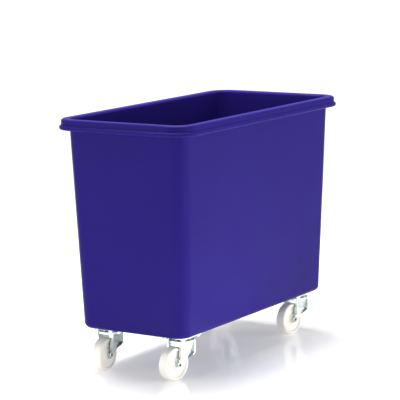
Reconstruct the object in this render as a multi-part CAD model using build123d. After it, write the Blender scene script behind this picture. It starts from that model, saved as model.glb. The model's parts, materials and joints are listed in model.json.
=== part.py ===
from build123d import *
import os

os.makedirs("parts", exist_ok=True)

# Wheeled bin: a tapered polyethylene tub on four swivel castors.
# Millimetres, +Z up, +X front (the long axis), +Y left, origin on the floor under the tub's centre.

# Tub, sizes taken over the outside of the moulding
base_length = 826.0
base_width = 368.0
tub_height = 622.0
wall_flare = 21.0
wall = 6.0
corner_radius = 43.0
base_round = 16.0
inner_base_round = 9.0

# Rim: the wall turns outwards and down, and ends in a flared lip
rim_overhang = 24.5
rim_height = 31.4
rim_outer_round = 8.0
rim_inner_round = 8.0
rim_channel_round = 3.0
lip_reach = 5.5
lip_height = 9.5
lip_slope_height = 4.1
lip_root_round = 4.0
lip_nose_round = 3.0
lip_under_round = 5.0

# Longer than anything that a cut or a trim passes through
through = 200.0

# Castors: where they stand, how high they hold the tub, and how each one is turned
castor_end_inset = 77.0
castor_side_inset = 58.0
mount_height = 131.0
castor_yaws = {"front_left": -6.0, "front_right": -7.4, "rear_left": 4.0, "rear_right": -9.1}

# Wheel
wheel_diameter = 100.0
wheel_width = 32.0
wheel_trail = 36.0
tread_crown = 0.8
wheel_shoulder = 6.0
recess_diameter = 80.0
recess_depth = 5.0
recess_round = 3.0
recess_slope = 1.5
hub_diameter = 30.0
hub_round = 1.0

# Top plate and its fixings
plate_length = 105.0
plate_width = 85.0
plate_thickness = 3.0
plate_corner = 10.0
bolt_spacing_x = 80.0
bolt_spacing_y = 60.0
slot_length = 12.0
bolt_diameter = 8.0
bolt_clearance = 0.5
bolt_head_width = 13.0
bolt_head_height = 5.3
bolt_nut_height = 6.8
bolt_tail = 2.0
floor_washer_diameter = 20.0
floor_washer_thickness = 1.6
hex_break_slope = 1.73

# Swivel head
dish_diameter = 72.0
dish_slope = 3.0
dish_depth = 7.0
ball_diameter = 7.0
ball_circle_diameter = 54.0
ball_count = 12
ball_play = 0.06
track_gap = 4.0
pin_diameter = 12.0
pin_head_diameter = 20.0
pin_head_height = 3.5
pin_head_round = 2.0
crown_bore_clearance = 1.5
cap_diameter = 41.0
cap_thickness = 2.5
cap_round = 2.0
cap_gap = 0.4

# Fork
crown_diameter = 76.0
crown_thickness = 2.5
crown_rim_height = 7.0
crown_round = 2.0
shoulder_half_width = 26.0
shoulder_top = 8.0
shoulder_drop = 26.0
shoulder_round = 12.0
leg_thickness = 2.5
leg_side_gap = 1.8
leg_flange_depth = 8.2
leg_rear = 31.5
leg_front = 27.0
leg_corner_drop = 46.0
leg_corner_round = 8.0
leg_boss_diameter = 24.0
leg_heel_round = 4.0
flange_fade_start = 20.0
flange_fade_end = 10.0

# Axle
axle_diameter = 10.0
axle_clearance = 0.2
axle_hex_width = 17.0
axle_head_height = 6.4
axle_nut_height = 6.5
axle_end_recess = 1.2
sleeve_diameter = 14.0
sleeve_running_clearance = 0.06
thrust_washer_diameter = 24.0
thrust_washer_thickness = 1.2
hub_end_float = 0.3

# Worked-out levels in the castor, measured down from the tub's underside
plate_under = -plate_thickness
dish_under = -dish_depth - plate_thickness
crown_top = dish_under - track_gap
crown_under = crown_top - crown_thickness
crown_middle = (crown_top + crown_under) / 2
ball_level = (dish_under + crown_top) / 2
ball_radius = ball_diameter / 2
ball_circle = ball_circle_diameter / 2
cap_top = crown_under - cap_gap
cap_under = cap_top - cap_thickness
wheel_radius = wheel_diameter / 2
axle_level = wheel_radius - mount_height
leg_inner = wheel_width / 2 + leg_side_gap
leg_outer = leg_inner + leg_thickness
flange_outer = leg_outer + leg_flange_depth
hub_half_length = leg_inner - thrust_washer_thickness - hub_end_float
shoulder_level = crown_under - shoulder_top
leg_level = shoulder_level - shoulder_drop

bolt_places = [
    (sx * bolt_spacing_x / 2, sy * bolt_spacing_y / 2) for sx in (-1, 1) for sy in (-1, 1)
]
castor_x = base_length / 2 - castor_end_inset
castor_y = base_width / 2 - castor_side_inset
castor_places = {
    "front_left": (castor_x, castor_y),
    "front_right": (castor_x, -castor_y),
    "rear_left": (-castor_x, castor_y),
    "rear_right": (-castor_x, -castor_y),
}


def rounded_outline(corners, closing=None):
    """Closed flat outline from (x, y, radius) corners; a radius of 0 keeps the corner sharp.

    The closing edge, where given, joins the last corner to the first instead of a straight line.
    """
    points = [(x, y) for x, y, _ in corners]
    if closing is None:
        face = Polygon(*points, align=None)
    else:
        face = make_face(Polyline(*points).edges() + closing.edges())
    for x, y, radius in corners:
        if radius > 0:
            corner = face.vertices().sort_by_distance((x, y, 0))[0]
            face = fillet(corner, radius)
    return face


def ring_of(outer_radius, inner_radius, low, high):
    """Plain ring about Z between two levels."""
    height = high - low
    ring = Cylinder(outer_radius, height) - Cylinder(inner_radius, height)
    return Pos(0, 0, (low + high) / 2) * ring


def hexagon(width, low, high, bore=0.0):
    """Hexagonal nut or bolt head about Z, with its corners broken by a cone at the top."""
    height = high - low
    section = RegularPolygon(width / 2, 6, major_radius=False)
    if bore > 0:
        section -= Circle(bore / 2)
    cone = Cone(width / 2 + height * hex_break_slope, width / 2, height)
    return Pos(0, 0, low) * (extrude(section, height) & (Pos(0, 0, height / 2) * cone))


def tub_block(inset, low, high):
    """Solid between two levels of the tapered tub, drawn in from its outside by the inset."""
    sections = []
    for level in (low, high):
        grow = 2 * wall_flare * level / tub_height - 2 * inset
        section = RectangleRounded(base_length + grow, base_width + grow, corner_radius - inset)
        sections.append(Plane.XY.offset(level) * section)
    return loft(sections)


def make_rim():
    """Rolled rim: one section carried round the top of the wall."""
    top = RectangleRounded(base_length + 2 * wall_flare, base_width + 2 * wall_flare, corner_radius)
    path = (Plane.XY.offset(tub_height) * top).face().outer_wire()
    skirt_in = rim_overhang - wall
    lip_out = rim_overhang + lip_reach
    section = rounded_outline([
        (-wall / 2, 0, 0),
        (rim_overhang, 0, rim_outer_round),
        (rim_overhang, lip_height + lip_slope_height - rim_height, lip_root_round),
        (lip_out, lip_height - rim_height, lip_nose_round),
        (lip_out, -rim_height, lip_under_round),
        (skirt_in, -rim_height, 0),
        (skirt_in, -wall, rim_channel_round),
        (-wall / 2, -wall, 0),
    ])
    tangent = path % 0
    outward = tangent.cross(Vector(0, 0, 1))
    if outward.dot(path @ 0 - Vector(0, 0, tub_height)) < 0:
        outward = -outward
    plane = Plane(origin=path @ 0, x_dir=outward, z_dir=outward.cross(Vector(0, 0, 1)))
    return sweep(plane * section, path=path)


def make_tub():
    """One-piece shell: tapered walls, rounded base, rolled rim, holes for the castor bolts."""
    outside = tub_block(0, 0, tub_height)
    outside = fillet(outside.edges().group_by(Axis.Z)[0], base_round)
    inside = tub_block(wall, wall, tub_height + wall)
    inside = fillet(inside.edges().group_by(Axis.Z)[0], inner_base_round)
    shell = outside - inside + make_rim()
    mouth_length = base_length / 2 + wall_flare
    mouth = [
        edge for edge in shell.edges().filter_by_position(Axis.Z, tub_height - 0.01, tub_height + 0.01)
        if abs(edge.center().X) < mouth_length and abs(edge.center().Y) < base_width / 2 + wall_flare
    ]
    shell = fillet(mouth, rim_inner_round)
    for x, y in castor_places.values():
        for dx, dy in bolt_places:
            hole = Cylinder(bolt_diameter / 2 + bolt_clearance, through)
            shell -= Pos(x + dx, y + dy, 0) * hole
    return Pos(0, 0, mount_height) * shell


def ball_track(sheet, side):
    """Section of a pressed ball track: the sheet bulges round the ball row, and the row is cut out."""
    centre = Pos(ball_circle, ball_level)
    bulge = centre * Circle(ball_radius + crown_thickness)
    near = dish_under if side > 0 else crown_top
    keep = Pos(ball_circle, near + side * ball_diameter) * Rectangle(2 * ball_diameter, 2 * ball_diameter)
    return sheet + (bulge & keep) - centre * Circle(ball_radius + ball_play)


def make_top_plate():
    """Plate with four slots and a pressed dish that carries the upper ball track."""
    flat = RectangleRounded(plate_length, plate_width, plate_corner)
    flat -= Circle(dish_diameter / 2 - plate_thickness)
    for x, y in bolt_places:
        flat -= Pos(x, y) * SlotOverall(slot_length, bolt_diameter + 2 * bolt_clearance)
    plate = Pos(0, 0, plate_under) * extrude(flat, plate_thickness)
    rim = dish_diameter / 2
    foot = rim - dish_slope
    hole = pin_diameter / 2
    dish = Polygon(
        (hole, dish_under), (foot, dish_under), (rim, plate_under), (rim, 0),
        (rim - plate_thickness, 0), (foot - plate_thickness, -dish_depth), (hole, -dish_depth),
        align=None,
    )
    return plate + revolve(Plane.XZ * ball_track(dish, 1), Axis.Z)


def make_king_pin():
    """Rivet: a flat head in the dish, the shank through plate, crown and cap, a closed head below."""
    top = pin_head_height - dish_depth
    bottom = cap_under - pin_head_height
    head = pin_head_diameter / 2
    shank = pin_diameter / 2
    profile = rounded_outline([
        (0, bottom, 0),
        (head, bottom, pin_head_round),
        (head, cap_under, 0),
        (shank, cap_under, 0),
        (shank, -dish_depth, 0),
        (head, -dish_depth, 0),
        (head, top, pin_head_round),
        (0, top, 0),
    ])
    return revolve(Plane.XZ * profile, Axis.Z)


def make_race_balls():
    """Row of balls between the plate's track and the crown's track."""
    ball = Sphere(ball_radius)
    return [
        Rot(0, 0, 360 / ball_count * n) * Pos(ball_circle, 0, ball_level) * ball
        for n in range(ball_count)
    ]


def make_swivel_cap():
    """Dished cap under the crown, with a turned-up rim that keeps dirt out."""
    rim = cap_diameter / 2
    profile = rounded_outline([
        (pin_diameter / 2, cap_under, 0),
        (rim, cap_under, cap_round),
        (rim, cap_top, 0),
        (pin_diameter / 2, cap_top, 0),
    ])
    return revolve(Plane.XZ * profile, Axis.Z)


def leg_outline(inset=0.0):
    """Side outline of a fork leg: upright rear edge, sloping front edge, round boss at the axle."""
    boss_radius = leg_boss_diameter / 2 - inset
    boss = Pos(-wheel_trail, axle_level) * Circle(boss_radius)
    corner_x = leg_front - leg_corner_round
    corner_z = crown_top - leg_corner_drop + leg_corner_round
    corner = Pos(corner_x, corner_z) * Circle(leg_corner_round - inset)
    top = Pos((leg_front - leg_rear) / 2, crown_under - leg_corner_round / 2)
    head = top * Rectangle(leg_front + leg_rear - 2 * inset, leg_corner_round)
    outline = make_hull(boss.edges() + corner.edges() + head.edges())
    rear = inset - leg_rear
    heel = axle_level + boss_radius
    outline -= Pos(rear - through / 2, heel + through / 2) * Rectangle(through, through)
    heel_corner = outline.vertices().sort_by_distance((rear, heel, 0))[0]
    return fillet(heel_corner, leg_heel_round + inset)


def leg_sheet(inset):
    """Front outline of the bent leg sheet: shoulders under the crown, then straight down."""
    shoulder = shoulder_half_width - inset
    leg = leg_outer - inset
    bottom = axle_level - leg_boss_diameter
    right = [
        (shoulder, crown_middle, 0),
        (shoulder, shoulder_level, shoulder_round),
        (leg, leg_level, shoulder_round),
        (leg, bottom, 0),
    ]
    left = [(-y, z, radius) for y, z, radius in reversed(right)]
    return rounded_outline(right + left)


def make_fork():
    """Pressed fork: round crown with its ball track, two shouldered legs with turned-out edges."""
    crown_radius = crown_diameter / 2
    bore = pin_diameter / 2 + crown_bore_clearance
    crown = rounded_outline([
        (bore, crown_under, 0),
        (crown_radius - crown_thickness, crown_under, 0),
        (crown_radius - crown_thickness, crown_top - crown_rim_height, 0),
        (crown_radius, crown_top - crown_rim_height, 0),
        (crown_radius, crown_top, crown_round),
        (bore, crown_top, 0),
    ])
    crown = revolve(Plane.XZ * ball_track(crown, -1), Axis.Z)

    side = extrude(Plane.XZ * leg_outline(), crown_radius, both=True)
    outer = extrude(Plane.YZ * leg_sheet(0), through, both=True)
    inner = extrude(Plane.YZ * leg_sheet(leg_thickness), through, both=True)
    legs = (outer - inner) & side

    edge_ring = leg_outline() - leg_outline(leg_thickness)
    flanges = extrude(Plane.XZ * edge_ring, flange_outer, both=True)
    fade_top = axle_level + flange_fade_start
    fade_low = axle_level + flange_fade_end
    fade = Polygon(
        (-flange_outer, 0), (-flange_outer, fade_top), (-leg_outer, fade_low),
        (leg_outer, fade_low), (flange_outer, fade_top), (flange_outer, 0),
        align=None,
    )
    flanges = (flanges - outer) & extrude(Plane.YZ * fade, through, both=True)
    under_crown = Pos(0, 0, crown_under - through / 2) * Box(through, through, through)
    fork = crown + legs + (flanges & under_crown)

    boss = Pos(-wheel_trail, 0, axle_level) * Rot(90, 0, 0)
    return fork - boss * Cylinder((axle_diameter + axle_clearance) / 2, through)


def make_wheel():
    """Moulded nylon wheel: crowned tread, rounded shoulders, recessed sides and a hub."""
    half = wheel_width / 2
    shoulder_radius = wheel_radius - tread_crown
    floor = half - recess_depth
    bore = sleeve_diameter / 2 + sleeve_running_clearance
    hub = hub_diameter / 2
    recess = recess_diameter / 2
    right = [
        (bore, hub_half_length, 0),
        (hub, hub_half_length, hub_round),
        (hub + recess_slope, floor, recess_round),
        (recess - recess_slope, floor, recess_round),
        (recess, half, hub_round),
        (shoulder_radius, half, wheel_shoulder),
    ]
    left = [(r, -y, radius) for r, y, radius in right]
    tread = ThreePointArc((shoulder_radius, half), (wheel_radius, 0), (shoulder_radius, -half))
    profile = rounded_outline(list(reversed(right)) + left, tread)
    return revolve(Plane.XY * profile, Axis.Y)


def make_axle_bolt():
    """Hex bolt with its head on the left leg and its end just inside the nut's face."""
    shank_low = -leg_outer - axle_nut_height + axle_end_recess
    shank = Cylinder(axle_diameter / 2, leg_outer - shank_low)
    shank = Pos(0, 0, (shank_low + leg_outer) / 2) * shank
    return shank + hexagon(axle_hex_width, leg_outer, leg_outer + axle_head_height)


def make_axle_nut():
    """Hex nut on the right leg."""
    nut = hexagon(axle_hex_width, 0, axle_nut_height, axle_diameter)
    return Pos(0, 0, -leg_outer) * Rot(180, 0, 0) * nut


def make_axle_sleeve():
    """Tube between the legs that the wheel turns on."""
    return ring_of(sleeve_diameter / 2, (axle_diameter + axle_clearance) / 2, -leg_inner, leg_inner)


def make_thrust_washers():
    """Washer between each end of the hub and its leg."""
    bore = sleeve_diameter / 2
    low = leg_inner - thrust_washer_thickness
    washer = ring_of(thrust_washer_diameter / 2, bore, low, leg_inner)
    return [washer, Rot(180, 0, 0) * washer]


def make_plate_bolts():
    """Bolts put in from inside the tub, heads on the washers."""
    seat = wall + floor_washer_thickness
    end = plate_under - bolt_nut_height - bolt_tail
    shank = Pos(0, 0, (seat + end) / 2) * Cylinder(bolt_diameter / 2, seat - end)
    bolt = shank + hexagon(bolt_head_width, seat, seat + bolt_head_height)
    return [Pos(x, y, 0) * bolt for x, y in bolt_places]


def make_bolt_washers():
    """Large washers that spread the load on the tub's floor."""
    top = wall + floor_washer_thickness
    washer = ring_of(floor_washer_diameter / 2, bolt_diameter / 2, wall, top)
    return [Pos(x, y, 0) * washer for x, y in bolt_places]


def make_plate_nuts():
    """Nuts under the top plate."""
    nut = hexagon(bolt_head_width, 0, bolt_nut_height, bolt_diameter)
    nut = Pos(0, 0, plate_under) * Rot(180, 0, 0) * nut
    return [Pos(x, y, 0) * nut for x, y in bolt_places]


def save(name, solids):
    """Write one node; a list of like pieces becomes one group of separate solids."""
    if isinstance(solids, list):
        solids = Compound(children=[piece.solid() for piece in solids])
    export_step(solids, "parts/" + name + ".step")


# Pieces of one castor: about its swivel axis, or about its axle
fixed_pieces = {
    "top_plate": make_top_plate(),
    "king_pin": make_king_pin(),
    "race_balls": make_race_balls(),
    "swivel_cap": make_swivel_cap(),
    "plate_bolts": make_plate_bolts(),
    "bolt_washers": make_bolt_washers(),
    "plate_nuts": make_plate_nuts(),
}
axle_pieces = {
    "axle_bolt": make_axle_bolt(),
    "axle_nut": make_axle_nut(),
    "axle_sleeve": make_axle_sleeve(),
    "thrust_washers": make_thrust_washers(),
}
fork_shape = make_fork()
wheel_shape = make_wheel()

save("tub", make_tub())
for corner, (x, y) in castor_places.items():
    stand = Pos(x, y, mount_height)
    turned = stand * Rot(0, 0, castor_yaws[corner])
    axle = turned * Pos(-wheel_trail, 0, axle_level)
    across = axle * Rot(-90, 0, 0)
    for name, piece in fixed_pieces.items():
        placed = [stand * one for one in piece] if isinstance(piece, list) else stand * piece
        save(corner + "_" + name, placed)
    for name, piece in axle_pieces.items():
        placed = [across * one for one in piece] if isinstance(piece, list) else across * piece
        save(corner + "_" + name, placed)
    save(corner + "_fork", turned * fork_shape)
    save(corner + "_wheel", axle * wheel_shape)
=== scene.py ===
"""Looks of the wheeled bin: a rotomoulded polyethylene tub on four swivel castors with nylon wheels."""

import json
import logging
import math
from collections.abc import Callable
from dataclasses import dataclass, field
from enum import Enum

import bpy
from mathutils import Matrix, Vector


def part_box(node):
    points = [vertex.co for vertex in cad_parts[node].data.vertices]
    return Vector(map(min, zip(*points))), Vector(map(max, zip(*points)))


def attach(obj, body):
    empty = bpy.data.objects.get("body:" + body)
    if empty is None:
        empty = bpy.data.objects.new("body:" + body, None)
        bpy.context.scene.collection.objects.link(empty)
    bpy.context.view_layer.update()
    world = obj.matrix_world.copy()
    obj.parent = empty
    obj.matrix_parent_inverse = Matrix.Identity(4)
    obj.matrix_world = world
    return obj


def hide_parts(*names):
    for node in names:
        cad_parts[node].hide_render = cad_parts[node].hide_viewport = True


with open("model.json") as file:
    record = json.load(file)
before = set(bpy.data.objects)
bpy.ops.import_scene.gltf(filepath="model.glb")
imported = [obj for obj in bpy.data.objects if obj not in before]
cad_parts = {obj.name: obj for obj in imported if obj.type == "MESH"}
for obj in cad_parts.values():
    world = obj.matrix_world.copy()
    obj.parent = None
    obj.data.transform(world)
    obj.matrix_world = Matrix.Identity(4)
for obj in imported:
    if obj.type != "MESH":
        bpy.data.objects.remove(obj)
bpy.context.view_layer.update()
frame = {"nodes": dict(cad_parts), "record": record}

log = logging.getLogger("wheeled_bin")
MM = 0.001
MERGE_MM = 0.005
# Slack when points and faces are picked by their place, and when a cutter has to reach past a piece
SLACK_MM = 0.1
# How finely round forms are divided
ARC_STEP = math.radians(11)
CORNER_STEPS = 14
WHEEL_STEPS = 96
COLLAR_STEPS = 64
FIXING_STEPS = 48
HOLE_STEPS = 32
# Edges sharper than this many degrees stay crisp, on the fixings, the tub and the mouldings of nylon
CRISP_ANGLE = 30.0
TUB_ANGLE = 35.0
SOFT_ANGLE = 40.0
# How firmly large faces keep their own shading, from 1 to 100
FLAT_WEIGHT = 80

# Distance across, distance up and rounding of one corner of an outline, in millimetres
Corner = tuple[float, float, float]
# A place in the frame, in metres
Spot = tuple[float, float, float]


class Place(Enum):
    """Where a castor stands under the tub."""

    FRONT_LEFT = "front_left"
    FRONT_RIGHT = "front_right"
    REAR_LEFT = "rear_left"
    REAR_RIGHT = "rear_right"


def linear(hex_colour: str) -> tuple[float, float, float, float]:
    """Turn an sRGB hex colour into the linear values that shaders take.

    Args:
        hex_colour: Colour such as "3C3296".

    Returns:
        Red, green, blue and an alpha of 1.
    """
    parts = [int(hex_colour[i : i + 2], 16) / 255 for i in (0, 2, 4)]
    # The curve is the sRGB standard's own
    lin = [c / 12.92 if c <= 0.04045 else ((c + 0.055) / 1.055) ** 2.4 for c in parts]
    return (lin[0], lin[1], lin[2], 1.0)


def add_node(
    tree: bpy.types.NodeTree,
    kind: str,
    links: dict[str | int, bpy.types.NodeSocket] | None = None,
    **settings: object,
) -> bpy.types.Node:
    """Add one shader node.

    Args:
        tree: Node tree that gets the node.
        kind: Blender's name of the node type.
        links: Input name or index to the output socket that feeds it.
        **settings: Node attributes, or input values with underscores for spaces.

    Returns:
        The new node.
    """
    node = tree.nodes.new(kind)
    for name, value in settings.items():
        if hasattr(node, name):
            setattr(node, name, value)
        else:
            node.inputs[name.replace("_", " ")].default_value = value
    for name, socket in (links or {}).items():
        tree.links.new(socket, node.inputs[name])
    return node


def start_finish(
    name: str, colour: str, shade: str, cloud_mm: float, detail: float
) -> tuple[bpy.types.Material, bpy.types.NodeSocket, bpy.types.NodeSocket]:
    """Start a finish whose colour drifts between two close tones in soft clouds.

    Args:
        name: Name of the material.
        colour: First tone, as an sRGB hex value.
        shade: Second tone, as an sRGB hex value.
        cloud_mm: Size of the clouds, in millimetres.
        detail: How many finer steps the clouds have.

    Returns:
        The material, the place that its patterns read, and how strong the clouds are there.
    """
    material = bpy.data.materials.new(name)
    material.use_nodes = True
    tree = material.node_tree
    place = add_node(tree, "ShaderNodeTexCoord").outputs["Object"]
    cloud = add_node(
        tree, "ShaderNodeTexNoise", {"Vector": place}, Scale=1 / (cloud_mm * MM), Detail=detail
    ).outputs["Fac"]
    tint = add_node(tree, "ShaderNodeMix", {"Factor": cloud}, data_type="RGBA")
    tint.inputs["A"].default_value = linear(colour)
    tint.inputs["B"].default_value = linear(shade)
    tree.links.new(tint.outputs["Result"], tree.nodes["Principled BSDF"].inputs["Base Color"])
    return material, place, cloud


@dataclass(frozen=True)
class RotomouldedPolyethylene:
    """Pigmented polyethylene from a heated mould: satin, softly rippled, with a faint grain."""

    # To the eye: one deep even colour right through, almost no glare on the flat walls, a soft line of
    # light along the rounded edges. The real grain is about 0.5 mm and is drawn coarser to show at all.

    colour: str = "251B6A"
    shade: str = "231964"
    roughness: float = 0.3
    specular: float = 0.022
    ior: float = 1.51
    grain_mm: float = 2.2
    grain_detail: float = 3.0
    grain_strength: float = 0.12
    grain_height_mm: float = 0.4
    ripple_mm: float = 170.0
    ripple_detail: float = 2.0
    ripple_strength: float = 0.25
    ripple_height_mm: float = 6.0

    def build(self) -> bpy.types.Material:
        """Make the material.

        Returns:
            The material.
        """
        material, place, cloud = start_finish(
            "rotomoulded_polyethylene", self.colour, self.shade, self.ripple_mm, self.ripple_detail
        )
        tree = material.node_tree
        shader = tree.nodes["Principled BSDF"]
        grain = add_node(
            tree, "ShaderNodeTexNoise", {"Vector": place},
            Scale=1 / (self.grain_mm * MM), Detail=self.grain_detail,
        )
        bump = add_node(
            tree, "ShaderNodeBump", {"Height": grain.outputs["Fac"]},
            Strength=self.grain_strength, Distance=self.grain_height_mm * MM,
        )
        wave = add_node(
            tree, "ShaderNodeBump", {"Height": cloud, "Normal": bump.outputs["Normal"]},
            Strength=self.ripple_strength, Distance=self.ripple_height_mm * MM,
        )
        tree.links.new(wave.outputs["Normal"], shader.inputs["Normal"])
        shader.inputs["Roughness"].default_value = self.roughness
        shader.inputs["Specular IOR Level"].default_value = self.specular
        shader.inputs["IOR"].default_value = self.ior
        return material


@dataclass(frozen=True)
class CastorSteel:
    """Steel of the castors: bright zinc plate over pressings, as long as no other finish is named."""

    # To the eye: pale and a little green, nearly white where it meets the light, with faint cloudy
    # patches where the zinc bath took differently and soft, spread reflections. The balls are ground
    # and mirror much more. A dark dull copy of this steel is painted shade on each bolt's end inside its
    # nut.

    name: str = "bright_zinc_plate"
    colour: str = "E2EAE7"
    shade: str = "B2BEBB"
    roughness: float = 0.34
    cloud_mm: float = 14.0
    cloud_detail: float = 4.0
    cloud_strength: float = 0.15
    cloud_height_mm: float = 0.3

    def build(self) -> bpy.types.Material:
        """Make the material.

        Returns:
            The material.
        """
        material, _, cloud = start_finish(
            self.name, self.colour, self.shade, self.cloud_mm, self.cloud_detail
        )
        tree = material.node_tree
        shader = tree.nodes["Principled BSDF"]
        bump = add_node(
            tree, "ShaderNodeBump", {"Height": cloud},
            Strength=self.cloud_strength, Distance=self.cloud_height_mm * MM,
        )
        tree.links.new(bump.outputs["Normal"], shader.inputs["Normal"])
        shader.inputs["Metallic"].default_value = 1.0
        shader.inputs["Roughness"].default_value = self.roughness
        return material


@dataclass(frozen=True)
class MouldedNylon:
    """Injection-moulded nylon: cream white, slightly waxy."""

    # To the eye: warm white with a soft gloss on the shoulders and yellowish shade in the recesses.

    colour: str = "FDFBF3"
    shade: str = "F6F2E6"
    roughness: float = 0.38
    ior: float = 1.53
    cloud_mm: float = 25.0
    cloud_detail: float = 3.0

    def build(self) -> bpy.types.Material:
        """Make the material.

        Returns:
            The material.
        """
        material, _, _ = start_finish(
            "moulded_nylon", self.colour, self.shade, self.cloud_mm, self.cloud_detail
        )
        shader = material.node_tree.nodes["Principled BSDF"]
        shader.inputs["Roughness"].default_value = self.roughness
        shader.inputs["IOR"].default_value = self.ior
        return material


@dataclass
class Studio:
    """Pale floor, soft lights and the camera at the photograph's angle. Metres, degrees and watts."""

    azimuth: float = -57.55
    elevation: float = 9.21
    roll: float = -0.94
    distance: float = 5.901
    lens_mm: float = 174.15
    sensor_mm: float = 36.0
    sight: float = 100.0
    aim: Spot = (-0.0079, 0.0113, 0.4665)
    sky: float = 0.4
    floor_size: float = 60.0
    floor_roughness: float = 0.12
    floor_ior: float = 1.45
    near_glow: float = 0.22
    far_glow: float = 0.75
    glow_start: float = 1.0
    glow_end: float = 6.0
    screen_radius: float = 29.0
    screen_height: float = 24.0
    screen_sunk: float = 1.0
    screen_sides: int = 96

    def camera(self) -> None:
        """Place the camera round the aim point."""
        az, el, roll = (math.radians(v) for v in (self.azimuth, self.elevation, self.roll))
        back = Vector((math.sin(az) * math.cos(el), -math.cos(az) * math.cos(el), math.sin(el)))
        right = Vector((math.cos(az), math.sin(az), 0))
        up = back.cross(right)
        side = right * math.cos(roll) + up * math.sin(roll)
        top = up * math.cos(roll) - right * math.sin(roll)
        data = bpy.data.cameras.new("camera")
        data.lens = self.lens_mm
        data.sensor_width = self.sensor_mm
        data.clip_end = self.sight
        camera = bpy.data.objects.new("camera", data)
        bpy.context.scene.collection.objects.link(camera)
        turn = Matrix((side, top, back)).transposed().to_4x4()
        camera.matrix_world = Matrix.Translation(Vector(self.aim) + back * self.distance) @ turn
        bpy.context.scene.camera = camera

    def floor(self) -> None:
        """Lay the floor, which glows a little more far away, so that it stays white up to the horizon."""
        bpy.ops.mesh.primitive_plane_add(size=self.floor_size, location=(0, 0, 0))
        floor = bpy.context.object
        floor.name = "studio_floor"
        material = bpy.data.materials.new("pale_floor")
        material.use_nodes = True
        tree = material.node_tree
        shader = tree.nodes["Principled BSDF"]
        shader.inputs["Base Color"].default_value = linear("F8F8F8")
        shader.inputs["Roughness"].default_value = self.floor_roughness
        shader.inputs["IOR"].default_value = self.floor_ior
        shader.inputs["Emission Color"].default_value = linear("FFFFFF")
        place = add_node(tree, "ShaderNodeTexCoord").outputs["Object"]
        away = add_node(tree, "ShaderNodeVectorMath", {0: place}, operation="LENGTH").outputs["Value"]
        glow = add_node(
            tree, "ShaderNodeMapRange", {"Value": away},
            From_Min=self.glow_start, From_Max=self.glow_end,
            To_Min=self.near_glow, To_Max=self.far_glow,
        )
        tree.links.new(glow.outputs["Result"], shader.inputs["Emission Strength"])
        floor.data.materials.append(material)

    def backdrop(self) -> None:
        """Stand a white screen round the floor's far edge, which low views see and which lights nothing."""
        bpy.ops.mesh.primitive_cylinder_add(
            vertices=self.screen_sides, radius=self.screen_radius, depth=self.screen_height,
            end_fill_type="NOTHING", location=(0, 0, self.screen_height / 2 - self.screen_sunk),
        )
        screen = bpy.context.object
        screen.name = "studio_screen"
        material = bpy.data.materials.new("white_screen")
        material.use_nodes = True
        shader = material.node_tree.nodes["Principled BSDF"]
        shader.inputs["Base Color"].default_value = linear("FFFFFF")
        shader.inputs["Emission Color"].default_value = linear("FFFFFF")
        shader.inputs["Emission Strength"].default_value = 1.0
        screen.data.materials.append(material)
        screen.visible_diffuse = False
        screen.visible_glossy = False
        screen.visible_transmission = False
        screen.visible_shadow = False

    def light(
        self, name: str, place: Spot, size: float, power: float, facing: Spot = (0, 0, 0.35)
    ) -> None:
        """Hang one square soft light that faces a point, as a rule the bin's middle.

        Args:
            name: Name of the lamp.
            place: Where it hangs, in metres.
            size: Length of its sides, in metres.
            power: Watts.
            facing: Point that it faces, in metres.
        """
        data = bpy.data.lights.new(name, "AREA")
        data.size = size
        data.energy = power
        lamp = bpy.data.objects.new(name, data)
        bpy.context.scene.collection.objects.link(lamp)
        lamp.location = place
        lamp.visible_camera = False
        lamp.rotation_mode = "QUATERNION"
        lamp.rotation_quaternion = (Vector(facing) - Vector(place)).to_track_quat("-Z", "Y")

    def build(self) -> None:
        """Set the whole studio up."""
        world = bpy.data.worlds.new("studio_world")
        bpy.context.scene.world = world
        world.use_nodes = True
        background = world.node_tree.nodes["Background"]
        background.inputs["Color"].default_value = linear("FFFFFF")
        background.inputs["Strength"].default_value = self.sky
        bpy.context.scene.view_settings.view_transform = "Standard"
        self.floor()
        self.backdrop()
        self.light("top_light", place=(0.2, 0.4, 3.2), size=1.8, power=215.0)
        self.light("side_light", place=(2.2, -4.2, 1.0), size=2.0, power=80.0)
        self.light("end_light", place=(-3.6, 2.6, 1.0), size=2.0, power=46.0)
        self.light("low_light", place=(-0.6, -2.6, 0.3), size=0.8, power=12.0)
        # Bright cards that lie beside the bin and face up, as a white table does in strong light
        self.light("side_card", place=(-0.25, -0.62, 0.004), size=0.7, power=4.2, facing=(-0.25, -0.62, 1.0))
        self.light("end_card", place=(-0.95, 0.0, 0.004), size=0.6, power=2.5, facing=(-0.95, 0.0, 1.0))
        self.camera()


def clear_selection() -> None:
    """Deselect every object, so that an operator meets only its own piece."""
    bpy.ops.object.select_all(action="DESELECT")


def begin(name: str) -> bpy.types.Object:
    """Start a piece as one point at the origin, left selected in edit mode.

    Args:
        name: Name of the new object.

    Returns:
        The new object.
    """
    clear_selection()
    bpy.ops.mesh.primitive_plane_add(size=MM)
    piece = bpy.context.object
    piece.name = name
    bpy.ops.object.mode_set(mode="EDIT")
    bpy.ops.mesh.select_all(action="SELECT")
    bpy.ops.mesh.merge(type="CENTER")
    return piece


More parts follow.
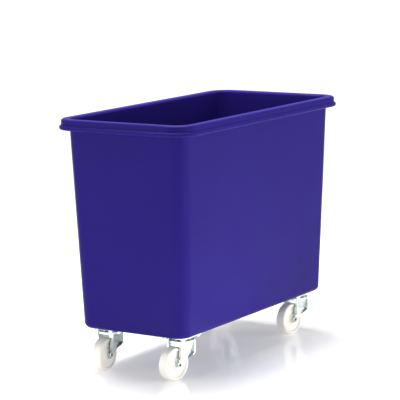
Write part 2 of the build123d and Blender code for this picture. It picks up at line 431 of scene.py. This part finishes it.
def draw(points: list[Corner], across: Vector, up: Vector, start: Vector) -> None:
    """Draw an outline from the selected point by extrusions, with each corner rounded by a spin.

    Args:
        points: Corners as distance across, distance up and radius, in millimetres.
        across: Unit vector that the first distance runs along.
        up: Unit vector that the second distance runs along.
        start: Where distance 0, 0 lies, in metres.
    """

    def place(spot: Vector) -> Vector:
        """Turn a distance across and up, in millimetres, into a place in metres."""
        return start + (across * spot.x + up * spot.y) * MM

    def reach(spot: Vector, last: Vector) -> None:
        """Draw a straight line from the last spot to the next, if they are apart.

        Args:
            spot: Where the line ends, in millimetres across and up.
            last: Where the outline stands.
        """
        if (spot - last).length > MERGE_MM:
            step = place(spot) - place(last)
            bpy.ops.mesh.extrude_vertices_move(TRANSFORM_OT_translate={"value": step})

    axis = across.cross(up)
    spots = [Vector((a, b)) for a, b, _ in points]
    bpy.ops.transform.translate(value=place(spots[0]))
    last = spots[0]
    for before, spot, after, (_, _, radius) in zip(spots, spots[1:], spots[2:], points[1:]):
        came, goes = (spot - before).normalized(), (after - spot).normalized()
        turn = math.atan2(came.x * goes.y - came.y * goes.x, came.dot(goes))
        enter = spot - came * radius * math.tan(abs(turn) / 2)
        reach(enter, last)
        last = enter
        if radius > 0:
            side = math.copysign(1.0, turn)
            centre = enter + Vector((-came.y, came.x)) * radius * side
            steps = max(2, math.ceil(abs(turn) / ARC_STEP))
            bpy.ops.mesh.spin(steps=steps, angle=-turn, center=place(centre), axis=axis)
            last = spot + goes * radius * math.tan(abs(turn) / 2)
    reach(spots[-1], last)


def pick_points(piece: bpy.types.Object, test: Callable[[Vector], bool]) -> None:
    """Select, in edit mode, the vertices that pass a test of their place in millimetres.

    Args:
        piece: Object being edited.
        test: Takes a place and says whether the vertex there is wanted.
    """
    bpy.ops.mesh.select_mode(type="VERT")
    bpy.ops.mesh.select_all(action="DESELECT")
    bpy.ops.object.mode_set(mode="OBJECT")
    for vertex in piece.data.vertices:
        vertex.select = test(vertex.co / MM)
    bpy.ops.object.mode_set(mode="EDIT")


def pick_edges(piece: bpy.types.Object, test: Callable[[Vector, Vector], bool]) -> None:
    """Select, in edit mode, the edges whose two ends pass a test of their places in millimetres.

    Args:
        piece: Object being edited.
        test: Takes both ends and says whether the edge is wanted.
    """
    bpy.ops.mesh.select_mode(type="EDGE")
    bpy.ops.mesh.select_all(action="DESELECT")
    bpy.ops.object.mode_set(mode="OBJECT")
    spots = [vertex.co / MM for vertex in piece.data.vertices]
    for edge in piece.data.edges:
        edge.select = test(*(spots[n] for n in edge.vertices))
    bpy.ops.object.mode_set(mode="EDIT")


def close_up(piece: bpy.types.Object) -> None:
    """Merge doubles, turn the faces outwards and leave edit mode.

    Args:
        piece: Object being edited.
    """
    bpy.ops.mesh.select_mode(type="VERT")
    bpy.ops.mesh.select_all(action="SELECT")
    bpy.ops.mesh.remove_doubles(threshold=MERGE_MM * MM)
    bpy.ops.mesh.normals_make_consistent(inside=False)
    bpy.ops.object.mode_set(mode="OBJECT")


def turned(name: str, points: list[Corner], steps: int) -> bpy.types.Object:
    """Turn a closed outline about Z, as on a lathe.

    Args:
        name: Name of the new object.
        points: Corners as radius, height and rounding, in millimetres.
        steps: Faces round the piece.

    Returns:
        The turned piece.
    """
    piece = begin(name)
    draw(points + [points[0]], Vector((1, 0, 0)), Vector((0, 0, 1)), Vector())
    bpy.ops.mesh.select_all(action="SELECT")
    bpy.ops.mesh.spin(steps=steps, angle=math.tau, center=(0, 0, 0), axis=(0, 0, 1))
    close_up(piece)
    return piece


def apply_modifier(piece: bpy.types.Object, kind: str, **settings: object) -> None:
    """Add a modifier to a piece and apply it.

    Args:
        piece: Object to change.
        kind: Blender's name of the modifier type.
        **settings: The modifier's attributes.
    """
    clear_selection()
    piece.select_set(True)
    bpy.context.view_layer.objects.active = piece
    modifier = piece.modifiers.new("step", kind)
    for name, value in settings.items():
        setattr(modifier, name, value)
    bpy.ops.object.modifier_apply(modifier=modifier.name)


def cut(piece: bpy.types.Object, tool: bpy.types.Object, way: str = "DIFFERENCE") -> None:
    """Cut a piece with another, which is used up.

    Args:
        piece: Object that stays.
        tool: Object that cuts.
        way: DIFFERENCE, INTERSECT or UNION.
    """
    apply_modifier(piece, "BOOLEAN", object=tool, operation=way, solver="EXACT")
    bpy.data.objects.remove(tool)


def smooth(piece: bpy.types.Object, angle: float) -> None:
    """Shade a piece smooth up to an angle, with its large faces kept flat.

    Args:
        piece: Object to shade.
        angle: Degrees past which an edge stays crisp.
    """
    clear_selection()
    piece.select_set(True)
    bpy.context.view_layer.objects.active = piece
    bpy.ops.object.shade_smooth_by_angle(angle=math.radians(angle))
    apply_modifier(piece, "WEIGHTED_NORMAL", keep_sharp=True, weight=FLAT_WEIGHT)


def placed_copy(master: bpy.types.Object, name: str, place: Matrix) -> bpy.types.Object:
    """Copy a piece with a mesh of its own and put it in place.

    Args:
        master: Piece to copy.
        name: Name of the copy.
        place: Where the copy goes.

    Returns:
        The copy, its place in its mesh.
    """
    copy = master.copy()
    copy.data = master.data.copy()
    copy.name = name
    bpy.context.scene.collection.objects.link(copy)
    clear_selection()
    copy.select_set(True)
    bpy.context.view_layer.objects.active = copy
    copy.matrix_world = place
    bpy.ops.object.transform_apply(location=True, rotation=True, scale=True)
    return copy


@dataclass
class Tub:
    """One-piece tub: tapered walls, rounded base and corners, rolled rim with a flared lip. Millimetres."""

    finish: bpy.types.Material
    wall: float = 6.0
    flare: float = 21.0
    corner_radius: float = 43.0
    base_round: float = 16.0
    floor_round: float = 9.0
    overhang: float = 24.5
    lip_reach: float = 5.5
    rim_height: float = 31.4
    lip_height: float = 9.5
    lip_slope: float = 4.1
    channel_end_round: float = 2.0
    channel_round: float = 3.0
    skirt_edge_round: float = 0.8
    lip_edge_round: float = 5.0
    lip_top_round: float = 3.0
    lip_hollow_round: float = 4.0
    rim_round: float = 8.0
    floor_edge: float = 22.0
    bolt_hole: float = 9.0
    washer_width: float = 20.0
    ripple: float = 0.9
    ripple_spacing: float = 210.0
    ripple_fade: float = 60.0
    cuts_up: int = 13
    cuts_along: int = 15
    cuts_across: int = 6
    under: float = field(init=False)
    top: float = field(init=False)
    straight_x: float = field(init=False)
    straight_y: float = field(init=False)

    def __post_init__(self) -> None:
        """Take the levels and the sides from the frame."""
        low, high = (Vector(corner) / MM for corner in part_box("tub"))
        out = self.overhang + self.lip_reach + self.flare
        self.under, self.top = low.z, high.z
        self.straight_x = high.x - out - self.corner_radius
        self.straight_y = high.y - out - self.corner_radius

    def section(self) -> list[Corner]:
        """Draw up the moulding's section, from under the floor, round the rim, to the floor's inside.

        Returns:
            Its corners.
        """
        skirt = self.overhang - self.wall
        lip = self.overhang + self.lip_reach
        foot = self.top - self.rim_height
        inner = -self.wall
        return [
            (-self.floor_edge, self.under, 0),
            (0, self.under, self.base_round),
            (0, self.top - self.wall, self.channel_end_round),
            (skirt, self.top - self.wall, self.channel_round),
            (skirt, foot, self.skirt_edge_round),
            (lip, foot, self.lip_edge_round),
            (lip, foot + self.lip_height, self.lip_top_round),
            (self.overhang, foot + self.lip_height + self.lip_slope, self.lip_hollow_round),
            (self.overhang, self.top, self.rim_round),
            (inner, self.top, self.rim_round),
            (inner, self.under + self.wall, self.floor_round),
            (-self.floor_edge, self.under + self.wall, 0),
        ]

    def sweep(self) -> bpy.types.Object:
        """Carry the section round the four sides and corners.

        Returns:
            The moulding, still in edit mode, with its floor open.
        """
        piece = begin("tub_moulding")
        start = Vector(((self.straight_x + self.corner_radius) * MM, -self.straight_y * MM, 0))
        draw(self.section(), Vector((1, 0, 0)), Vector((0, 0, 1)), start)
        bpy.ops.mesh.select_all(action="SELECT")
        x, y = self.straight_x * MM, self.straight_y * MM
        quarter = -math.pi / 2
        for along, centre in [
            ((0, 2 * y, 0), (x, y, 0)),
            ((-2 * x, 0, 0), (-x, y, 0)),
            ((0, -2 * y, 0), (-x, -y, 0)),
            ((2 * x, 0, 0), (x, -y, 0)),
        ]:
            bpy.ops.mesh.extrude_region_move(TRANSFORM_OT_translate={"value": along})
            bpy.ops.mesh.spin(steps=CORNER_STEPS, angle=quarter, center=centre, axis=(0, 0, 1))
        return piece

    def build(self) -> bpy.types.Object:
        """Model the tub and dress it.

        Returns:
            The finished tub.
        """
        piece = self.sweep()
        close_up(piece)
        bpy.ops.object.mode_set(mode="EDIT")
        self.taper(piece)
        self.close_floor(piece)
        self.divide(piece)
        close_up(piece)
        self.ripple_walls(piece)
        self.bore(piece)
        smooth(piece, TUB_ANGLE)
        piece.data.materials.append(self.finish)
        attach(piece, "root")
        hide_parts("tub")
        return piece

    def taper(self, piece: bpy.types.Object) -> None:
        """Spread the upper half of the moulding, so that the walls lean outwards.

        Args:
            piece: Tub being edited.
        """
        middle = (self.under + self.top) / 2
        for side_x, side_y in [(1, 1), (1, -1), (-1, 1), (-1, -1)]:
            pick_points(piece, lambda p: p.z > middle and p.x * side_x > 0 and p.y * side_y > 0)
            grow = (side_x * self.flare * MM, side_y * self.flare * MM, 0)
            bpy.ops.transform.translate(value=grow)

    def close_floor(self, piece: bpy.types.Object) -> None:
        """Fill the floor's underside and inside within the swept section.

        Args:
            piece: Tub being edited.
        """
        edge = self.corner_radius - self.floor_edge + SLACK_MM
        for level in (self.under, self.under + self.wall):
            pick_points(
                piece,
                lambda p: abs(p.z - level) < SLACK_MM
                and abs(p.x) < self.straight_x + edge
                and abs(p.y) < self.straight_y + edge,
            )
            bpy.ops.mesh.edge_face_add()

    def divide(self, piece: bpy.types.Object) -> None:
        """Divide the long edges, so that the walls can wander.

        Args:
            piece: Tub being edited.
        """
        # Only edges that run a whole wall's height or a whole straight side are this long
        half_up, most_across = (self.top - self.under) / 2, 1.5 * self.straight_y
        pick_edges(piece, lambda a, b: abs(a.z - b.z) > half_up)
        bpy.ops.mesh.subdivide(number_cuts=self.cuts_up)
        pick_edges(piece, lambda a, b: abs(a.x - b.x) > self.straight_x)
        bpy.ops.mesh.subdivide(number_cuts=self.cuts_along)
        pick_edges(piece, lambda a, b: abs(a.y - b.y) > most_across and abs(a.x - b.x) < 1)
        bpy.ops.mesh.subdivide(number_cuts=self.cuts_across)

    def ripple_walls(self, piece: bpy.types.Object) -> None:
        """Let the walls wander a little, as a moulding does when it cools off its mould.

        Args:
            piece: Tub to change.
        """
        group = piece.vertex_groups.new(name="walls")
        for vertex in piece.data.vertices:
            level = vertex.co.z / MM
            inside = min(level - self.under - self.base_round, self.top - self.rim_height - level)
            share = inside / self.ripple_fade
            group.add([vertex.index], min(max(share, 0.0), 1.0), "REPLACE")
        clouds = bpy.data.textures.new("wall_ripple", "CLOUDS")
        clouds.noise_scale = self.ripple_spacing * MM
        apply_modifier(
            piece, "DISPLACE", texture=clouds, texture_coords="LOCAL", vertex_group="walls",
            strength=self.ripple * MM, mid_level=0.5,
        )

    def bore(self, piece: bpy.types.Object) -> None:
        """Drill the floor where the castor bolts stand, as the frame places them.

        Args:
            piece: Tub to drill.
        """
        for corner in Place:
            low, high = (Vector(c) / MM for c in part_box(f"{corner.value}_bolt_washers"))
            half = self.washer_width / 2
            for x in (low.x + half, high.x - half):
                for y in (low.y + half, high.y - half):
                    clear_selection()
                    bpy.ops.mesh.primitive_cylinder_add(
                        vertices=HOLE_STEPS, radius=self.bolt_hole / 2 * MM, depth=4 * self.wall * MM,
                        location=(x * MM, y * MM, (self.under + self.wall / 2) * MM),
                    )
                    cut(piece, bpy.context.object)


@dataclass
class CastorWheel:
    """Nylon wheel: crowned tread with a parting line, rounded shoulders, recessed sides. Millimetres."""

    finish: bpy.types.Material
    radius: float = 50.0
    half_width: float = 16.0
    crown: float = 0.8
    crown_round: float = 40.0
    shoulder: float = 6.0
    recess_radius: float = 40.0
    recess_depth: float = 5.0
    recess_round: float = 3.0
    edge_round: float = 1.0
    slope: float = 1.5
    hub_radius: float = 15.0
    hub_half_length: float = 16.3
    bore_radius: float = 7.06
    bore_break: float = 0.6
    line_height: float = 0.25
    line_half_width: float = 0.6

    def section(self) -> list[Corner]:
        """Draw up the wheel's section.

        Returns:
            Its corners, as radius, distance along the axle and rounding.
        """
        floor = self.half_width - self.recess_depth
        tread = self.radius - self.crown
        side = [
            (self.bore_radius, 0, 0),
            (self.bore_radius, self.hub_half_length, self.bore_break),
            (self.hub_radius, self.hub_half_length, self.edge_round),
            (self.hub_radius + self.slope, floor, self.recess_round),
            (self.recess_radius - self.slope, floor, self.recess_round),
            (self.recess_radius, self.half_width, self.edge_round),
            (tread, self.half_width, self.shoulder),
            (self.radius - self.line_height, self.half_width / 3, self.crown_round),
            (self.radius - self.line_height, self.line_half_width, 0),
            (self.radius, 0, 0),
        ]
        return side + [(r, -y, rounding) for r, y, rounding in reversed(side[1:-1])]

    def master(self) -> bpy.types.Object:
        """Turn one wheel about Z.

        Returns:
            The wheel, at the origin.
        """
        piece = turned("nylon_wheel", self.section(), WHEEL_STEPS)
        smooth(piece, SOFT_ANGLE)
        piece.data.materials.append(self.finish)
        return piece

    def build(self) -> None:
        """Put a wheel of its own in each castor."""
        master = self.master()
        for corner in Place:
            name = corner.value
            wheel = placed_copy(master, f"{name}_nylon_wheel", axle_place(corner))
            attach(wheel, f"{name}_rolling_wheel")
            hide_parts(f"{name}_wheel")
            log.info("%s: %d faces", wheel.name, len(wheel.data.polygons))
        bpy.data.objects.remove(master)


def axle_place(corner: Place) -> Matrix:
    """Give the place of an axle: Z along it towards the bin's left, origin at the wheel's centre.

    Args:
        corner: Which castor.

    Returns:
        The place in the frame.
    """
    joints = frame["record"]["behaviour"]["joints"]
    joint = next(j for j in joints if j["name"] == f"{corner.value}_wheel_roll")
    along = Vector(joint["axis"]).normalized()
    side = Vector((0, 0, 1)).cross(along) * -1
    turn = Matrix((side, along.cross(side), along)).transposed().to_4x4()
    return Matrix.Translation(Vector(joint["pos_m"])) @ turn


@dataclass
class AxleFixings:
    """Hex bolt whose end is painted dark as shade, and its self-locking nut with a nylon ring. Millimetres.
    """

    metal: bpy.types.Material
    nylon: bpy.types.Material
    # Dark dull steel, painted shade on the bolt's end inside the nut
    painted_end_shade: bpy.types.Material
    leg_outside: float = 20.3
    across_flats: float = 17.0
    head_height: float = 6.4
    nut_height: float = 6.5
    hex_height: float = 4.9
    collar_radius: float = 7.6
    bolt_radius: float = 5.0
    end_recess: float = 1.2
    end_chamfer: float = 0.9
    pitch: float = 1.5
    thread_depth: float = 0.6
    ring_radius: float = 6.4
    ring_gap: float = 0.05
    ring_bite: float = 0.02
    ring_foot: float = 0.25
    ring_drop: float = 0.5
    ring_outer_round: float = 0.3
    ring_inner_round: float = 0.4
    seat_depth: float = 0.2
    corner_break: float = 0.55
    face_inset: float = 0.2
    collar_flare: float = 0.6
    collar_foot_round: float = 0.4
    collar_round: float = 1.3
    collar_wall_inside: float = 0.5
    overlap: float = 1.0

    def hexagon(self, name: str, height: float) -> bpy.types.Object:
        """Make a hex block on the XY plane, with the corners of both ends broken by a cone.

        Args:
            name: Name of the block.
            height: Its height.

        Returns:
            The block.
        """
        clear_selection()
        radius = self.across_flats / 2 / math.cos(math.pi / 6)
        bpy.ops.mesh.primitive_cylinder_add(
            vertices=6, radius=radius * MM, depth=height * MM, location=(0, 0, height / 2 * MM)
        )
        block = bpy.context.object
        block.name = name
        bpy.ops.object.transform_apply(location=True, rotation=True, scale=True)
        face = self.across_flats / 2 - self.face_inset
        drop = (radius - face) * self.corner_break
        wide = radius + SLACK_MM
        cone = [
            (0, 0, 0), (face, 0, 0), (wide, drop, 0),
            (wide, height - drop, 0), (face, height, 0), (0, height, 0),
        ]
        cut(block, turned("corner_cone", cone, WHEEL_STEPS), "INTERSECT")
        return block

    def bolt(self) -> bpy.types.Object:
        """Make the bolt: broken hex head, shank and a threaded end whose tip carries painted shade.

        Returns:
            The bolt, along Z, with the middle of its wheel at the origin.
        """
        head = self.leg_outside
        end = -self.leg_outside - self.nut_height + self.end_recess
        thread_top = -self.leg_outside + self.overlap
        points = [(0, end, 0), (self.bolt_radius - self.end_chamfer, end, 0)]
        turns = int((thread_top - end - self.end_chamfer) / self.pitch)
        for n in range(turns):
            level = end + self.end_chamfer + n * self.pitch
            points += [
                (self.bolt_radius, level, 0),
                (self.bolt_radius - self.thread_depth, level + self.pitch / 2, 0),
            ]
        shank = points[-1][1] + self.pitch / 2
        top = head + self.overlap
        points += [(self.bolt_radius, shank, 0), (self.bolt_radius, top, 0), (0, top, 0)]
        piece = turned("axle_bolt_shank", points, FIXING_STEPS)
        block = self.hexagon("axle_bolt_head", self.head_height)
        block.matrix_world = Matrix.Translation((0, 0, head * MM))
        cut(piece, block, "UNION")
        piece.data.materials.append(self.metal)
        # Second material: painted shade on the end face and its chamfer, where the nut's bore shades the
        # bolt
        piece.data.materials.append(self.painted_end_shade)
        for face in piece.data.polygons:
            if face.center.z / MM < end + self.end_chamfer - SLACK_MM:
                face.material_index = 1
        smooth(piece, CRISP_ANGLE)
        return piece

    def nut(self) -> bpy.types.Object:
        """Make the nut: hex block with a rolled collar over the ring, bored through.

        Returns:
            The nut, standing on the XY plane.
        """
        piece = self.hexagon("axle_nut_block", self.hex_height)
        inside, foot = self.ring_radius - self.collar_wall_inside, self.hex_height - self.overlap
        collar = [
            (inside, foot, 0),
            (self.collar_radius + self.collar_flare, foot, 0),
            (self.collar_radius + self.collar_flare, self.hex_height, self.collar_foot_round),
            (self.collar_radius, self.nut_height, self.collar_round),
            (inside, self.nut_height, 0),
        ]
        cut(piece, turned("collar", collar, COLLAR_STEPS), "UNION")
        seat, above = self.hex_height + self.seat_depth, self.nut_height + self.overlap
        bore = [
            (0, -self.overlap, 0), (self.bolt_radius, -self.overlap, 0), (self.bolt_radius, seat, 0),
            (self.ring_radius, seat, 0), (self.ring_radius, above, 0), (0, above, 0),
        ]
        cut(piece, turned("bore", bore, FIXING_STEPS))
        piece.data.materials.append(self.metal)
        smooth(piece, CRISP_ANGLE)
        return piece

    def ring(self) -> bpy.types.Object:
        """Make the nylon ring that grips the thread.

        Returns:
            The ring, where it lies in the nut.
        """
        low, high = self.hex_height + self.ring_foot, self.nut_height - self.ring_drop
        inner, outer = self.bolt_radius + self.ring_bite, self.ring_radius - self.ring_gap
        section = [
            (inner, low, 0), (outer, low, 0),
            (outer, high, self.ring_outer_round), (inner, high, self.ring_inner_round),
        ]
        piece = turned("locking_ring", section, FIXING_STEPS)
        piece.data.materials.append(self.nylon)
        smooth(piece, SOFT_ANGLE)
        return piece

    def build(self) -> None:
        """Fit one bolt, one nut and one ring to each castor."""
        bolt, nut, ring = self.bolt(), self.nut(), self.ring()
        under = Matrix.Rotation(math.pi, 4, "X") @ Matrix.Translation((0, 0, self.leg_outside * MM))
        for corner in Place:
            name, axle = corner.value, axle_place(corner)
            for master, piece, place, node, slot in [
                (bolt, "threaded_axle_bolt", axle, "axle_bolt", "zinc_fasteners"),
                (nut, "locking_nut", axle @ under, "axle_nut", "zinc_fasteners"),
                (ring, "locking_ring", axle @ under, None, "white_nylon"),
            ]:
                copy = placed_copy(master, f"{name}_{piece}", place)
                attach(copy, f"{name}_swivel")
                if node:
                    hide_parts(f"{name}_{node}")
                log.info("%s: %d faces", copy.name, len(copy.data.polygons))
        for master in (bolt, nut, ring):
            bpy.data.objects.remove(master)


def dress(node: bpy.types.Object, material: bpy.types.Material) -> None:
    """Give a CAD node its finish.

    Args:
        node: Object of the node.
        material: Finish that takes the place of all its materials.
    """
    node.data.materials.clear()
    node.data.materials.append(material)


def main() -> None:
    """Build the looks in order."""
    Studio().build()
    finishes = {
        "blue_polyethylene": RotomouldedPolyethylene().build(),
        "zinc_plated_steel": CastorSteel().build(),
        "zinc_fasteners": CastorSteel(
            "zinc_fasteners", colour="D8DEDD", shade="AEB7B6", roughness=0.34, cloud_mm=6.0
        ).build(),
        "bearing_steel": CastorSteel(
            "bearing_steel", colour="D8DADA", shade="C6C9C9", roughness=0.12, cloud_mm=9.0
        ).build(),
        "white_nylon": MouldedNylon().build(),
    }
    for entry in frame["record"]["subparts"]:
        dress(frame["nodes"][entry["node"]], finishes[entry["material_slot"]])
        log.info("%s: %s", entry["node"], entry["material_slot"])
    tub = Tub(finishes["blue_polyethylene"]).build()
    log.info("%s: %d faces", tub.name, len(tub.data.polygons))
    CastorWheel(finishes["white_nylon"]).build()
    # Dark dull steel as painted shade on the bolts' ends inside the nuts
    painted_end_shade_finish = CastorSteel(
        "painted_shade_bolt_end", colour="4C5154", shade="3A3E41", roughness=0.5, cloud_mm=4.0
    ).build()
    AxleFixings(finishes["zinc_fasteners"], finishes["white_nylon"], painted_end_shade_finish).build()


if __name__ == "__main__":
    logging.basicConfig(level=logging.INFO)
    main()
